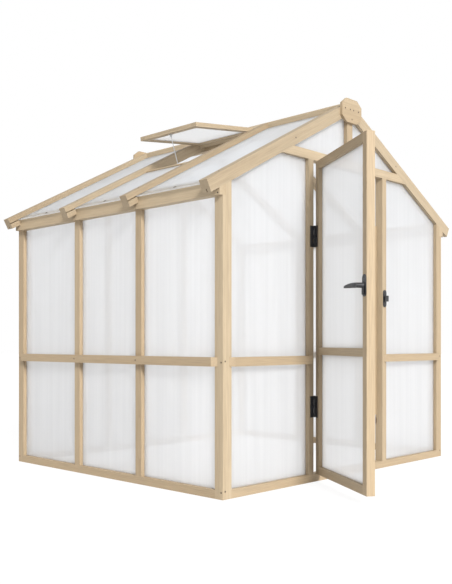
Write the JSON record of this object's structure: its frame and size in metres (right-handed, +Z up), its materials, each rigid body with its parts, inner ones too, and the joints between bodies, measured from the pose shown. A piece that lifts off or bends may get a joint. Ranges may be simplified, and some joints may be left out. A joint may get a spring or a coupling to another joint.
{
  "type": "walk-in greenhouse",
  "caption": "Timber-framed walk-in greenhouse with a gable roof, milky twin-wall sheets, an outward-opening hinged door with a lever latch, and a propped roof vent.",
  "frame": {"origin": "centre of the rectangular footprint over the corner posts, on the ground", "axes": "+Z up; -Y out of the gable with the door; -X out of the slope with the vent"},
  "size_m": [2.208, 2.3378, 2.0579],
  "materials": {
    "softwood": "planed, clear",
    "twin_wall_sheet": "milky, finely fluted",
    "black_hardware": "satin black",
    "dark_screws": "dark phosphate",
    "plain_steel": "zinc plated"
  },
  "bodies": {
    "frame": {"front_sill": "softwood", "rear_sill": "softwood", "side_sills": "softwood", "corner_post_front_left": "softwood", "corner_post_front_right": "softwood", "corner_post_rear_left": "softwood", "corner_post_rear_right": "softwood", "side_wall_studs": "softwood", "rear_wall_studs": "softwood", "hinge_post": "softwood", "latch_post": "softwood", "door_stop": "softwood", "door_header": "softwood", "rear_tie": "softwood", "king_posts": "softwood", "front_mid_rails": "softwood", "rear_mid_rail": "softwood", "side_mid_rails": "softwood", "wall_plates": "softwood", "ridge_beam": "softwood", "ridge_gussets": "softwood", "left_end_rafters": "softwood", "left_common_rafters": "softwood", "right_end_rafters": "softwood", "right_common_rafters": "softwood", "vent_hinge_rail": "softwood", "vent_trimmer": "softwood", "side_wall_sheets": "twin_wall_sheet", "front_wall_sheets": "twin_wall_sheet", "rear_wall_sheets": "twin_wall_sheet", "gable_sheets": "twin_wall_sheet", "left_roof_sheets": "twin_wall_sheet", "right_roof_sheets": "twin_wall_sheet", "hinge_post_leaves": "black_hardware", "hinge_pins": "black_hardware", "latch_keeper": "black_hardware", "vent_fixed_leaves": "black_hardware", "vent_hinge_pins": "black_hardware", "stay_peg": "black_hardware", "post_hardware_screws": "black_hardware", "frame_screws": "dark_screws", "roof_screws": "dark_screws", "roof_washers": "plain_steel"},
    "door": {"door_hinge_stile": "softwood", "door_latch_stile": "softwood", "door_top_rail": "softwood", "door_mid_rail": "softwood", "door_bottom_rail": "softwood", "door_sheets": "twin_wall_sheet", "hinge_door_leaves": "black_hardware", "handle_plate": "black_hardware", "door_hardware_screws": "black_hardware"},
    "handle": {"handle_lever": "black_hardware"},
    "vent": {"vent_side_rails": "softwood", "vent_hinge_side_rail": "softwood", "vent_free_rail": "softwood", "vent_sheet": "twin_wall_sheet", "vent_moving_leaves": "black_hardware", "stay_bracket": "black_hardware"},
    "stay": {"vent_stay": "plain_steel"}
  },
  "joints": [
    {"name": "door_hinge", "type": "hinge", "parent": "frame", "child": "door", "pos_m": [-0.322, -0.876, 0], "axis": [0, 0, 1], "range_deg": [-38, 122]},
    {"name": "handle_turn", "type": "hinge", "parent": "door", "child": "handle", "pos_m": [-0.64599, -1.40582, 0.98], "axis": [-0.848, 0.5299, 0], "range_deg": [0, 90]},
    {"name": "vent_hinge", "type": "hinge", "parent": "frame", "child": "vent", "pos_m": [-0.08374, 0, 2.01039], "axis": [0, 1, 0], "range_deg": [-21, 0]},
    {"name": "stay_fold", "type": "hinge", "parent": "vent", "child": "stay", "pos_m": [-0.53643, 0, 1.91863], "axis": [0, 1, 0], "range_deg": [-73.5, 0]}
  ],
  "couplings": [
    {"joint": "stay_fold", "follows": "vent_hinge", "ratio": 3.5}
  ]
}
